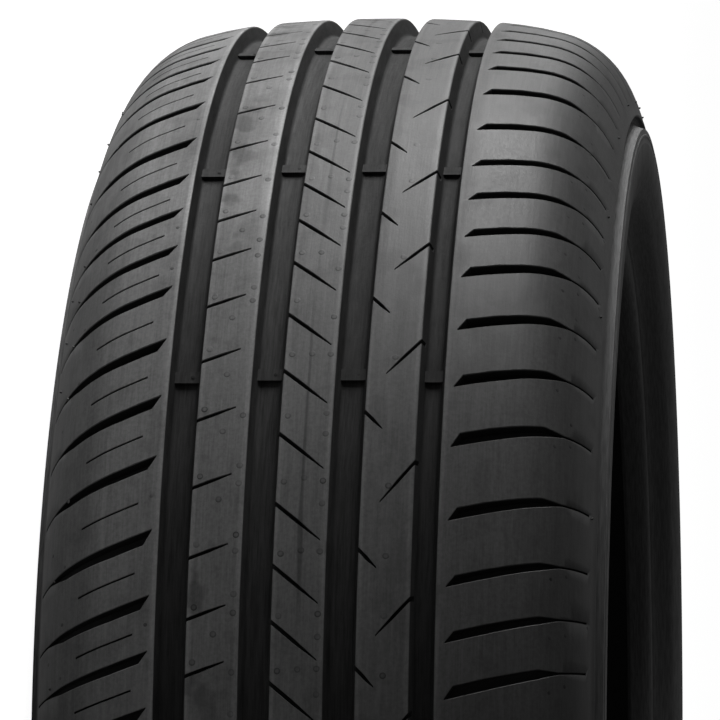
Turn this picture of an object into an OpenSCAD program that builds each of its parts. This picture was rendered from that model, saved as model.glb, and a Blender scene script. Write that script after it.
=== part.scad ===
// Passenger car tyre, lying on its sidewall.
// The axle runs along Z, the origin is the centre of the tyre, and +Z is the outer sidewall.
// On the tread, "across" is measured along Z from the middle, and "along" is measured round
// the tread, in the direction that the pitches are counted.

/* [Tyre size] */
// Widest distance across the sidewalls
section_w = 218.6; // [205:0.1:235]
// Diameter over the crown of the tread
outer_d = 634.4; // [620:0.1:650]
// Diameter of the bead seats, where the rim fits
seat_d = 436.6; // [425:0.1:448]
// Distance between the two bead heels
rim_w = 195; // [185:1:205]

/* [Tread curve] */
// Radius of the crown, seen in section
crown_r = 580; // [400:10:900]
// Radius of the tread's outer ribs, seen in section
rib_r = 150; // [110:5:200]
// Radius of the rounded shoulder
shoulder_r = 40; // [32:1:46]
// Radius of the buttress below the shoulder
buttress_r = 55; // [40:1:70]
// How far the tread's edge lies inside the widest point
edge_inset = 3.9; // [2:0.1:6]

/* [Circumferential grooves] */
// Depth of the four main grooves
groove_depth = 7.6; // [5:0.1:8.5]
// Lean of the groove walls
groove_draft = 12; // [4:1:16]
// Width of the three wide grooves at the tread
wide_groove_w = 12; // [8:0.1:13]
// Width of the narrow groove on the outer side
narrow_groove_w = 9.4; // [7:0.1:12]
// Where the innermost groove's middle lies
groove_1 = -49.7; // [-52:0.1:-48]
// Where the second groove's middle lies
groove_2 = -17.8; // [-20:0.1:-16]
// Where the third groove's middle lies
groove_3 = 14; // [12:0.1:16]
// Where the outer, narrow groove's middle lies
groove_4 = 44.5; // [43:0.1:46]
// Chamfer along the edges of the ribs
rib_chamfer = 0.4; // [0.2:0.1:0.8]
// Height of the wear bars above the groove floor
wear_bar_h = 1.6; // [1:0.1:3]
// Length of a wear bar round the tread
wear_bar_l = 5; // [4:0.5:12]

/* [Pitches] */
// Lengths of the three kinds of pitch, shortest first
pitch_lengths = [21.4, 25.9, 30]; // [18:0.1:34]
// How many times the order of the pitches repeats round the tyre
pitch_repeats = 4; // [3:1:5]
// Angle at which the first pitch starts
first_pitch = 83.1; // [0:0.01:360]

/* [Shoulder grooves] */
// Depth of the shoulder grooves
shoulder_groove_depth = 6; // [3:0.1:7]
// Width of a shoulder groove in a pitch of middle length
shoulder_groove_w = 4.4; // [3:0.1:5.2]
// Width of the hairline that ends a shoulder groove
hairline_w = 0.8; // [0.5:0.1:1.2]
// How far the inner side's grooves run along the tread for each mm across it
inner_slant = 0.345; // [0.3:0.005:0.42]
// How far the outer side's grooves run along the tread for each mm across it
outer_slant = 0.26; // [0.2:0.01:0.32]
// How far along the inner side's grooves lie from the outer side's
inner_lead = 3.3; // [0:0.1:12]

/* [Sipes] */
// Depth of the sipes
sipe_depth = 5; // [3:0.1:6.5]
// Width of the sipes in the inner of the three middle ribs
rib_2_sipe_w = 1.5; // [0.8:0.1:2.4]
// Width of the sipes in the other two middle ribs
sipe_w = 2; // [0.8:0.1:2.4]
// Width of a sipe at its closed end
sipe_end_w = 0.6; // [0.4:0.1:1]
// Width of the closed sipes on the inner shoulder
shoulder_sipe_w = 0.7; // [0.5:0.1:1.2]

/* [Casing] */
// Thickness from the crown to the inner liner
crown_wall = 17; // [13:0.5:20]
// Thickness of the sidewall at its widest point
side_wall = 6.5; // [5.5:0.5:10]
// Width of a bead, from heel to toe
bead_w = 11; // [9:0.5:14]
// Radius of the bead's heel
heel_r = 5; // [3:0.5:7]
// Depth of the step between the tread's edge and the sidewall
step_depth = 2.4; // [1:0.1:3.5]
// Height of the rim line ribs
rim_line_h = 0.8; // [0.4:0.1:1.2]

/* [Hidden] */
$fn = 240;

crown = outer_d / 2;
seat = seat_d / 2;
half_w = section_w / 2;
heel = rim_w / 2;

// Angles at which the tread's arcs meet, from the crown outwards
rib_end = 15;
shoulder_end = 60;
buttress_end = 77;

// Half width of the tread, at the edge of the buttress
edge = half_w - edge_inset;
crown_end = asin((edge - rib_r * sin(rib_end)
                  - shoulder_r * (sin(shoulder_end) - sin(rib_end))
                  - buttress_r * (sin(buttress_end) - sin(shoulder_end))) / (crown_r - rib_r));

// Each arc of the tread: its radius, and the angles at which it starts and ends
arcs = [[crown_r, 0, crown_end], [rib_r, crown_end, rib_end],
        [shoulder_r, rib_end, shoulder_end], [buttress_r, shoulder_end, buttress_end]];
arc_steps = [3, 2, 4, 2];

// How far arc i carries the tread across and down
function arc_across(i, angle) = arcs[i][0] * (sin(angle) - sin(arcs[i][1]));
function arc_drop(i, angle) = arcs[i][0] * (cos(arcs[i][1]) - cos(angle));
function start_across(i) = i == 0 ? 0 : start_across(i - 1) + arc_across(i - 1, arcs[i - 1][2]);
function start_drop(i) = i == 0 ? 0 : start_drop(i - 1) + arc_drop(i - 1, arcs[i - 1][2]);
function tread_point(i, angle) =
    [crown - start_drop(i) - arc_drop(i, angle), start_across(i) + arc_across(i, angle)];

// Points of the tread from the crown to the edge, as radius and distance across
tread_half = concat([[crown, 0]],
    [for (i = [0:3], k = [1:arc_steps[i]])
        tread_point(i, arcs[i][1] + (arcs[i][2] - arcs[i][1]) * k / arc_steps[i])]);

// Radius of the tread at a distance across it
function arc_of(x) = x < start_across(1) ? 0 : x < start_across(2) ? 1 : x < start_across(3) ? 2 : 3;
function angle_at(i, x) = asin(min(0.99, sin(arcs[i][1]) + (x - start_across(i)) / arcs[i][0]));
function tread_r(x) = tread_point(arc_of(abs(x)), angle_at(arc_of(abs(x)), abs(x)))[0];
edge_r = tread_point(3, buttress_end)[0];

// The sidewall bulges on one arc, widest a little below half its height
bulge_r = 60;
widest_drop = 6.7;
widest_r = (crown + seat) / 2 - widest_drop;
function bulge(r) = half_w - bulge_r + sqrt(bulge_r * bulge_r - (r - widest_r) * (r - widest_r));
function ease(t) = (1 - cos(180 * t)) / 2;

// The step below the tread's edge, and where the bulge passes into the bead
step_top = edge_r - 1.6;
step_bottom = edge_r - 7;
flange_top = seat + 12;
bulge_foot = seat + 26;

// The sidewall from the tread's edge down to the bead's heel
side_half = concat(
    [[step_top, edge - step_depth * 0.6],
     [(step_top + step_bottom) / 2, edge - step_depth * 0.7],
     [step_bottom + 1.2, edge - step_depth * 0.1]],
    [for (k = [0:7]) let (r = step_bottom + (bulge_foot - step_bottom) * k / 7) [r, bulge(r)]],
    [for (k = [1:5]) let (r = bulge_foot + (flange_top - bulge_foot) * k / 5)
        [r, heel + (bulge(bulge_foot) - heel) * ease(1 - k / 5)]],
    [[flange_top - 1, heel + rim_line_h], [flange_top - 2, heel]],
    [for (k = [0:4]) let (a = 90 * k / 4)
        [seat + heel_r - heel_r * sin(a), heel - heel_r + heel_r * cos(a)]]);

// The liner from the bead's toe up to the crown
toe = heel - bead_w;
toe_r = 1.5;
bead_top = seat + 9;
liner_waist = widest_r - 9;
liner_half_w = half_w - side_wall;
liner_rise = crown - crown_wall - liner_waist;
liner_bulge = 2.6;
liner_half = concat(
    [[seat, toe + toe_r], [seat + toe_r * 0.4, toe + toe_r * 0.4], [seat + toe_r, toe]],
    [for (k = [0:6]) let (t = k / 6)
        [bead_top + (liner_waist - bead_top) * t,
         toe + toe_r + (liner_half_w - toe - toe_r) * ease(t)]],
    [for (k = [1:9]) let (a = 90 * k / 9)
        [liner_waist + liner_rise * pow(sin(a), 2 / liner_bulge),
         liner_half_w * pow(cos(a), 2 / liner_bulge)]]);

function reversed(list) = [for (i = [len(list) - 1:-1:0]) list[i]];
function mirrored(list) = [for (p = list) [p[0], -p[1]]];
function after_first(list) = [for (i = [1:len(list) - 1]) list[i]];
function sum(list, i = 0) = i < len(list) ? list[i] + sum(list, i + 1) : 0;

outer_half = concat(tread_half, side_half);

// Order of the kinds of pitch in one repeat, which spreads the tread's noise
pitch_order = [1, 0, 0, 0, 1, 2, 1, 0, 0, 0, 1, 1, 1, 2, 1, 0, 0, 1, 2, 2];
pitch_count = len(pitch_order) * pitch_repeats;

// The pitches are stretched a little, so that they close round the tread
pitch_stretch = 2 * PI * crown / (pitch_repeats * sum([for (k = pitch_order) pitch_lengths[k]]));
function pitch_length(i) = pitch_lengths[pitch_order[i % len(pitch_order)]] * pitch_stretch;
function as_angle(along) = along / crown * 180 / PI;
pitch_start = [for (i = 0, a = first_pitch; i < pitch_count;
                    a = a - as_angle(pitch_length(i)), i = i + 1) a];

grooves = [[groove_1, wide_groove_w], [groove_2, wide_groove_w],
           [groove_3, wide_groove_w], [groove_4, narrow_groove_w]];
inner_rib = groove_1 - wide_groove_w / 2;
rib_2 = [groove_1 + wide_groove_w / 2, groove_2 - wide_groove_w / 2];
rib_3 = [groove_2 + wide_groove_w / 2, groove_3 - wide_groove_w / 2];
rib_4 = [groove_3 + wide_groove_w / 2, groove_4 - narrow_groove_w / 2];
outer_rib = groove_4 + narrow_groove_w / 2;

// A shoulder groove starts at a tip beside the outermost grooves, and stops short of the edge
inner_tip = -inner_rib + 2.6;
outer_tip = outer_rib + 3.6;
inner_far = edge - 1.3;
outer_far = edge - 2.3;

// A shoulder groove has an oblique end, narrows a little to a waist, and then to its hairline,
// all counted across from its tip
oblique_end = 3.2;
narrowing = 15;
waist = 34;
waist_share = 0.8;
hairline_start = 41;

// How far the hairline lies along from the groove's front edge, at its start and at its far end
inner_hairline = [0.6, 0.5];
outer_hairline = [0.4, -0.8];

// Each sipe: where it opens along from the pitch's middle, and how far it runs along and across
rib_2_sipe = [2.4, -5.5, 14.7];
rib_3_sipe = [-14.6, 14.3, 17.4];
short_sipe = [-0.9, 7, 6.9];

// The opening of the second of these lies further ahead by a share of the pitch
rib_3_lead = 0.16;

// The long sipe opens ahead of the pitch's middle by a share of the pitch, and ends behind it
long_sipe_lead = 0.276;
long_sipe_end = 8.2;
long_sipe_across = 12.6;

// Angles of the wear bars in one repeat of the pitches
wear_bar_angles = [75, 52.8, 32.5];

// How far a cutter reaches above the tread, and into a groove that it opens to
clear = 3;
reach = 2.5;

// Turns what follows to an angle of the tread, and along it from there
module at(angle, along = 0) {
    rotate([0, 0, as_angle(along) - 90 - angle]) children();
}

// A cutter whose outline is drawn on the tread, as distance along and across
module tread_cutter(outline, floor_r) {
    translate([floor_r, 0, 0]) rotate([90, 0, 90])
        linear_extrude(crown + clear - floor_r) polygon(outline);
}

// A ring cut from the profile of a main groove
module main_groove(middle, w) {
    top = tread_r(middle);
    floor_r = top - groove_depth;
    lean = tan(groove_draft);
    foot = w / 2 - groove_depth * lean;
    fillet = 1.2;
    half_ring = [[floor_r, foot - fillet], [floor_r + fillet, foot + fillet * lean],
                 [top - rib_chamfer, w / 2 - rib_chamfer * lean],
                 [top + clear, w / 2 + rib_chamfer + clear]];
    rotate_extrude() translate([0, middle])
        polygon(concat(half_ring, mirrored(reversed(half_ring))));
}

// One wear bar, sunk slightly into the floor and walls of its groove
module wear_bar(middle, w, angle) {
    floor_r = tread_r(middle) - groove_depth;
    lean = tan(groove_draft);
    foot = w / 2 - groove_depth * lean;
    sunk = 0.4;
    top_half_w = foot + sunk + wear_bar_h * lean;
    turn = wear_bar_l / floor_r * 180 / PI;
    at(angle) rotate([0, 0, -turn / 2]) rotate_extrude(angle = turn) translate([0, middle])
        polygon([[floor_r - sunk, -foot], [floor_r - sunk, foot],
                 [floor_r + wear_bar_h, top_half_w], [floor_r + wear_bar_h, -top_half_w]]);
}

// A sipe from the groove where it opens, on side 1 or -1 of it, to its closed end. It keeps its
// width to its middle and narrows from there.
module sipe(open, side, run, across, w) {
    slope = run / across;
    points = [[-reach * slope, -reach, w], [run / 2, across / 2, w], [run, across, sipe_end_w]];
    front = [for (p = points) [p[0] - p[2] / 2, open + side * p[1]]];
    back = [for (p = points) [p[0] + p[2] / 2, open + side * p[1]]];
    tread_cutter(concat(front, reversed(back)),
                 min(tread_r(open), tread_r(open + side * across)) - sipe_depth);
}

// A floor for shoulder cuts that follows the curved shoulder, as deep as depths says
module shoulder_floor(side, from, to, depths) {
    last = len(depths) - 1;
    length_along = 80;
    points = [for (k = [0:last]) let (x = from + (to - from) * k / last)
              [tread_r(x) - depths[k], side * x]];
    translate([0, length_along / 2, 0]) rotate([90, 0, 0]) linear_extrude(length_along)
        polygon(concat(points, [[crown + clear, side * to], [crown + clear, side * from]]));
}

// A groove across the shoulder: wide from its oblique end, then a hairline over the buttress
module shoulder_groove(side, tip, far, slant, w, hairline) {
    end = far - tip;
    front = [[0, 0], [waist, 0], [hairline_start, hairline[0]], [end, hairline[1]]];
    back = [[oblique_end, w], [narrowing, w], [waist, w * waist_share],
            [hairline_start, hairline[0] + hairline_w], [end, hairline[1] + hairline_w]];
    intersection() {
        tread_cutter([for (p = concat(front, reversed(back)))
                          [-side * (p[1] + p[0] * slant), side * (tip + p[0])]],
                     edge_r - shoulder_groove_depth);
        shoulder_floor(side, tip - 1, far + 1, shoulder_groove_depth * [1, 1, 0.9, 0.5]);
    }
}

// A closed sipe that follows the inner side's shoulder grooves, halfway between two of them
module shoulder_sipe() {
    from = 5.9;
    to = 28.1;
    front = (shoulder_groove_w - shoulder_sipe_w) / 2;
    back = front + shoulder_sipe_w;
    depth = sipe_depth * 0.8;
    outline = [[from, front], [from, back], [to, back], [to, front]];
    intersection() {
        tread_cutter([for (p = outline) [p[1] + p[0] * inner_slant, -inner_tip - p[0]]],
                     tread_r(inner_tip + to) - sipe_depth);
        shoulder_floor(-1, inner_tip + from - 1, inner_tip + to + 1, [depth, depth]);
    }
}

// The shoulder cuts of pitch i, and its sipes in the two inner ribs
module pitch_cuts(i) {
    start = pitch_start[i];
    middle = start - as_angle(pitch_length(i)) / 2;
    outer_w = shoulder_groove_w * pitch_length(i) / pitch_length(0);
    inner_w = shoulder_groove_w * pitch_length(i + pitch_count - 1) / pitch_length(0);
    at(start) shoulder_groove(1, outer_tip, outer_far, outer_slant, outer_w, outer_hairline);
    at(start, inner_lead)
        shoulder_groove(-1, inner_tip, inner_far, inner_slant, inner_w, inner_hairline);
    at(middle, inner_lead) shoulder_sipe();
    at(middle, rib_2_sipe[0]) sipe(rib_2[0], 1, rib_2_sipe[1], rib_2_sipe[2], rib_2_sipe_w);
    at(middle, rib_3_sipe[0] - rib_3_lead * pitch_length(i))
        sipe(rib_3[0], 1, rib_3_sipe[1], rib_3_sipe[2], sipe_w);
}

// The sipe that pitch i has in the outer centre rib: by turns short, or long from the other side
module rib_4_cuts(i) {
    middle = pitch_start[i] - as_angle(pitch_length(i)) / 2;
    lead = long_sipe_lead * pitch_length(i);
    if (i % 2 == 0) {
        at(middle, short_sipe[0]) sipe(rib_4[0], 1, short_sipe[1], short_sipe[2], sipe_w);
    } else {
        at(middle, -lead)
            sipe(rib_4[1], -1, lead + long_sipe_end, long_sipe_across, sipe_w);
    }
}

// The casing with its tread, beads and sidewalls, before any groove is cut
module casing() {
    rotate_extrude() polygon(concat(mirrored(reversed(outer_half)), after_first(outer_half),
                                    liner_half, after_first(mirrored(reversed(liner_half)))));
}

module tyre() {
    color([0.11, 0.11, 0.115]) difference() {
        union() {
            difference() {
                casing();
                for (g = grooves) main_groove(g[0], g[1]);
            }
            for (g = grooves, k = [0:pitch_repeats - 1], a = wear_bar_angles)
                wear_bar(g[0], g[1], a + k * 360 / pitch_repeats);
        }
        for (i = [0:pitch_count - 1]) pitch_cuts(i);
        for (i = [0:pitch_count - 1]) rib_4_cuts(i);
    }
}

tyre();
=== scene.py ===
"""Dresses the car tyre: one moulded rubber ring with a fine tread, on a pale studio floor.

The tyre lies on its inner sidewall, so its axle is the Z axis. Sizes are in millimetres until
a mesh is scaled to metres. "Across" is the distance along Z from the tread's middle, "along"
is the distance round the tread, and a tread angle is measured up from the tyre's front.
"""
import logging
import math
import random
from dataclasses import dataclass
from enum import Enum
from typing import Callable, Iterable, Sequence

import bmesh
import bpy
from mathutils import Matrix, Vector


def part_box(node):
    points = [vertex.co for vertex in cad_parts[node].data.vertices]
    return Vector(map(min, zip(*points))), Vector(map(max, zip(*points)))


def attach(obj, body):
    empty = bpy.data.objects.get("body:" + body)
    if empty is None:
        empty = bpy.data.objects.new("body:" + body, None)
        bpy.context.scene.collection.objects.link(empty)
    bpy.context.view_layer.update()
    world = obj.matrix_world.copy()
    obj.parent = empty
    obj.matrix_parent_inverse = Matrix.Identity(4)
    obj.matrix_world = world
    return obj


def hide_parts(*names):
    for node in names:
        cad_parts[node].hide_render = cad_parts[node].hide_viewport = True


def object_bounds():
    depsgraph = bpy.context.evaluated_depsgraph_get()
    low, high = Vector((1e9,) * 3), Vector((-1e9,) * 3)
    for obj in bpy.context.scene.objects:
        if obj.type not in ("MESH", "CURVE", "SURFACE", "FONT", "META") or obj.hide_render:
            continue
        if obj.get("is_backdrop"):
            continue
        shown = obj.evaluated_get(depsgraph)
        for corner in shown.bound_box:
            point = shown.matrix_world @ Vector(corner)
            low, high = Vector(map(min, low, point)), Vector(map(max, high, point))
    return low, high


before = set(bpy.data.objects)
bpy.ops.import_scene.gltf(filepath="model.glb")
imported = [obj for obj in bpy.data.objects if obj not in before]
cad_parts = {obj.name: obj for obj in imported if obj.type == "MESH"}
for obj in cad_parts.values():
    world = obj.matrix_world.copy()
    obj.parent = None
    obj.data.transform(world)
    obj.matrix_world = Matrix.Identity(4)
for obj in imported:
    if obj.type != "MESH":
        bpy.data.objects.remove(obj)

MM = 0.001
NODE = "tyre"
BODY = "root"
# The attribute that carries the vent marks' painted shade.
MARK_SHADE = "ring"

Point = tuple[float, float]
Triple = tuple[float, float, float]
Floats = tuple[float, ...]
Section = list[Vector]
Piece = bpy.types.Object
Material = bpy.types.Material

log = logging.getLogger("tyre")


class Side(Enum):
    """A side of the tyre, as the sign of its Z."""

    INNER = -1
    OUTER = 1


def corners() -> list[list[float]]:
    """Return the lowest and the highest corner of what is shown, as plain lists."""
    return [list(corner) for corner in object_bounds()]


def ease(t: float) -> float:
    """Return a smooth step from 0 to 1."""
    return (1 - math.cos(math.pi * t)) / 2


def between(start: float, end: float, steps: int) -> list[float]:
    """Return steps + 1 even values from start to end."""
    return [start + (end - start) * k / steps for k in range(steps + 1)]


def follow(line: Sequence[Point], place: float) -> float:
    """Return a line's value at a place, from its knots in order; it is level beyond its ends."""
    for (start, low), (end, high) in zip(line, line[1:]):
        if place <= end:
            return low + (high - low) * max(0.0, place - start) / (end - start)
    return line[-1][1]


@dataclass(frozen=True)
class Groove:
    """A main groove round the tread: where its middle lies, and its width at the tread."""

    middle: float
    width: float

    @property
    def inner_edge(self) -> float:
        """Return where the groove starts, on the side of the inner sidewall."""
        return self.middle - self.width / 2

    @property
    def outer_edge(self) -> float:
        """Return where the groove ends, on the side of the outer sidewall."""
        return self.middle + self.width / 2


@dataclass(frozen=True)
class TyreSizes:
    """The tyre's driving sizes in millimetres, with its crown and half width from the CAD box."""

    crown: float
    half_width: float
    seat: float = 218.3
    heel: float = 97.5
    crown_r: float = 580.0
    rib_r: float = 150.0
    shoulder_r: float = 40.0
    buttress_r: float = 55.0
    edge_inset: float = 3.9
    groove_depth: float = 7.6
    groove_lean: float = math.tan(math.radians(12))
    rib_round: float = 0.55
    groove_fillet: float = 1.6
    grooves: tuple[Groove, ...] = (
        Groove(-49.7, 12.0), Groove(-17.8, 12.0), Groove(14.0, 12.0), Groove(44.5, 9.4))
    step_depth: float = 2.4
    bulge_r: float = 60.0
    widest_drop: float = 6.7
    crown_wall: float = 17.0
    side_wall: float = 6.5
    bead_width: float = 11.0
    heel_r: float = 5.0
    rim_line: float = 0.8

    @property
    def edge(self) -> float:
        """Return the tread's half width, at the edge of the buttress."""
        return self.half_width - self.edge_inset

    @property
    def widest_r(self) -> float:
        """Return the radius at which the sidewall is widest."""
        return (self.crown + self.seat) / 2 - self.widest_drop


class TreadCurve:
    """The tread in section, made of four arcs that run smoothly into each other."""

    RIB_END = math.radians(15)
    SHOULDER_END = math.radians(60)
    BUTTRESS_END = math.radians(77)
    STEEPEST = 0.99

    def __init__(self, sizes: TyreSizes) -> None:
        """Work the arcs out from the tyre's sizes."""
        rib, shoulder, buttress = (
            math.sin(angle) for angle in (self.RIB_END, self.SHOULDER_END, self.BUTTRESS_END))
        crown_end = math.asin(
            (sizes.edge - sizes.rib_r * rib - sizes.shoulder_r * (shoulder - rib)
             - sizes.buttress_r * (buttress - shoulder)) / (sizes.crown_r - sizes.rib_r))
        self.radii = [sizes.crown_r, sizes.rib_r, sizes.shoulder_r, sizes.buttress_r]
        self.turns = [0.0, crown_end, self.RIB_END, self.SHOULDER_END, self.BUTTRESS_END]
        self.starts: list[Point] = [(sizes.crown, 0.0)]
        for arc in range(3):
            self.starts.append(self.point(arc, self.turns[arc + 1]))

    def point(self, arc: int, angle: float) -> Point:
        """Return the radius and the distance across of the point of an arc at an angle."""
        radius, across = self.starts[arc]
        turn, bend = self.turns[arc], self.radii[arc]
        return (radius - bend * (math.cos(turn) - math.cos(angle)),
                across + bend * (math.sin(angle) - math.sin(turn)))

    def find(self, across: float) -> tuple[int, float]:
        """Return the arc that holds a distance across, and the angle of its normal there."""
        x = abs(across)
        arc = max(k for k, start in enumerate(self.starts) if x >= start[1])
        sine = math.sin(self.turns[arc]) + (x - self.starts[arc][1]) / self.radii[arc]
        return arc, math.asin(min(self.STEEPEST, sine))

    def radius(self, across: float) -> float:
        """Return the tread's radius at a distance across, to either side."""
        return self.point(*self.find(across))[0]

    def lean(self, across: float) -> float:
        """Return the angle between the tread's normal at a distance across and the crown's."""
        return math.copysign(self.find(across)[1], across)

    @property
    def edge_radius(self) -> float:
        """Return the tread's radius at its edge."""
        return self.point(len(self.radii) - 1, self.BUTTRESS_END)[0]

    def half(self, steps: Sequence[int]) -> list[Point]:
        """Return the tread's points from crown to edge, with each arc in a number of steps."""
        points = [self.starts[0]]
        for arc, count in enumerate(steps):
            turns = between(self.turns[arc], self.turns[arc + 1], count)[1:]
            points += [self.point(arc, turn) for turn in turns]
        return points


@dataclass(frozen=True)
class Pitch:
    """One pitch of the tread: the tread angle at which it starts, and its length."""

    number: int
    start: float
    length: float


@dataclass
class PitchRow:
    """The row of pitches round the tread, in an order that spreads its noise."""

    crown: float
    lengths: Floats = (21.4, 25.9, 30.0)
    order: tuple[int, ...] = (1, 0, 0, 0, 1, 2, 1, 0, 0, 0, 1, 1, 1, 2, 1, 0, 0, 1, 2, 2)
    repeats: int = 4
    first: float = math.radians(83.1)

    def turn(self, along: float) -> float:
        """Return the angle that a distance along the tread covers."""
        return along / self.crown

    @property
    def stretch(self) -> float:
        """Return how much longer each pitch is made, so that the row closes."""
        kinds = self.order * self.repeats
        return 2 * math.pi * self.crown / sum(self.lengths[kind] for kind in kinds)

    def pitches(self) -> list[Pitch]:
        """Return every pitch, in the order in which they follow each other."""
        row, start = [], self.first
        for number, kind in enumerate(self.order * self.repeats):
            length = self.lengths[kind] * self.stretch
            row.append(Pitch(number, start, length))
            start -= self.turn(length)
        return row


class Workshop:
    """Shapes meshes with Blender's operators, as by hand."""

    SEAM = 0.002

    @staticmethod
    def deselect() -> None:
        """Leave nothing selected, in object mode."""
        if bpy.context.object and bpy.context.object.mode != "OBJECT":
            bpy.ops.object.mode_set(mode="OBJECT")
        bpy.ops.object.select_all(action="DESELECT")

    @staticmethod
    def take(piece: Piece) -> None:
        """Select one piece and make it active."""
        Workshop.deselect()
        piece.select_set(True)
        bpy.context.view_layer.objects.active = piece

    @staticmethod
    def ring_of(name: str, outline: Sequence[Vector], filled: bool) -> Piece:
        """Add a circle, filled or not, and give its vertices the places of an outline."""
        Workshop.deselect()
        bpy.ops.mesh.primitive_circle_add(
            vertices=len(outline), fill_type="NGON" if filled else "NOTHING")
        piece = bpy.context.object
        piece.name = name
        for vertex, place in zip(piece.data.vertices, outline):
            vertex.co = place
        return piece

    @staticmethod
    def loft(name: str, sections: Sequence[Section]) -> Piece:
        """Extrude an outline through a row of sections and close both ends.

        Args:
            name: The new piece's name.
            sections: Outlines with as many points each, from one end to the other.

        Returns:
            The closed piece, with its normals outwards.
        """
        piece = Workshop.ring_of(name, sections[0], filled=True)
        bpy.ops.object.mode_set(mode="EDIT")
        bpy.ops.mesh.select_mode(type="VERT")
        bpy.ops.mesh.select_all(action="SELECT")
        for before, after in zip(sections, sections[1:]):
            bpy.ops.mesh.extrude_region_move()
            mesh = bmesh.from_edit_mesh(piece.data)
            for vertex in [v for v in mesh.verts if v.select]:
                gaps = [(vertex.co - place).length_squared for place in before]
                vertex.co = after[gaps.index(min(gaps))]
            bmesh.update_edit_mesh(piece.data)
        bpy.ops.mesh.select_all(action="SELECT")
        bpy.ops.mesh.normals_make_consistent(inside=False)
        bpy.ops.object.mode_set(mode="OBJECT")
        return piece

    @staticmethod
    def spin(name: str, outline: Sequence[Vector], steps: int) -> Piece:
        """Spin a closed outline once round the axle.

        Args:
            name: The new piece's name.
            outline: The section, in the plane through the axle.
            steps: How many straight pieces the round is divided into.

        Returns:
            The closed ring, with its normals outwards.
        """
        piece = Workshop.ring_of(name, outline, filled=False)
        bpy.ops.object.mode_set(mode="EDIT")
        bpy.ops.mesh.select_all(action="SELECT")
        bpy.ops.mesh.spin(steps=steps, angle=2 * math.pi, center=(0, 0, 0), axis=(0, 0, 1))
        bpy.ops.mesh.select_all(action="SELECT")
        bpy.ops.mesh.remove_doubles(threshold=Workshop.SEAM)
        bpy.ops.mesh.normals_make_consistent(inside=False)
        bpy.ops.object.mode_set(mode="OBJECT")
        return piece

    @staticmethod
    def copy_at(model: Piece, place: Matrix) -> Piece:
        """Return a copy of a model with a mesh of its own, moved by a matrix."""
        twin = model.copy()
        twin.data = model.data.copy()
        twin.data.transform(place)
        bpy.context.collection.objects.link(twin)
        return twin

    @staticmethod
    def join(name: str, parts: Sequence[Piece]) -> Piece:
        """Join parts into one piece of the given name and return it."""
        Workshop.take(parts[0])
        for part in parts:
            part.select_set(True)
        bpy.ops.object.join()
        joined = bpy.context.object
        joined.name = name
        return joined

    @staticmethod
    def scrap(parts: Iterable[Piece]) -> None:
        """Delete models that are no longer needed."""
        for part in parts:
            bpy.data.objects.remove(part)

    @staticmethod
    def combine(body: Piece, tool: Piece, operation: str) -> None:
        """Add a tool to a body (UNION) or cut it out (DIFFERENCE), and delete the tool."""
        Workshop.take(body)
        change = body.modifiers.new(operation.lower(), "BOOLEAN")
        change.operation = operation
        change.solver = "MANIFOLD"
        change.object = tool
        bpy.ops.object.modifier_apply(modifier=change.name)
        bpy.data.objects.remove(tool)

    @staticmethod
    def finish(piece: Piece, smooth_below: float,
               material: Material) -> None:
        """Scale a piece to metres, shade its gentle edges smooth and give it its material.

        Args:
            piece: The piece, modelled in millimetres.
            smooth_below: Edges under this angle, in degrees, are shaded smooth.
            material: The piece's only material.
        """
        piece.data.transform(Matrix.Scale(MM, 4))
        Workshop.take(piece)
        bpy.ops.object.shade_smooth_by_angle(angle=math.radians(smooth_below))
        piece.data.materials.clear()
        piece.data.materials.append(material)


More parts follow.
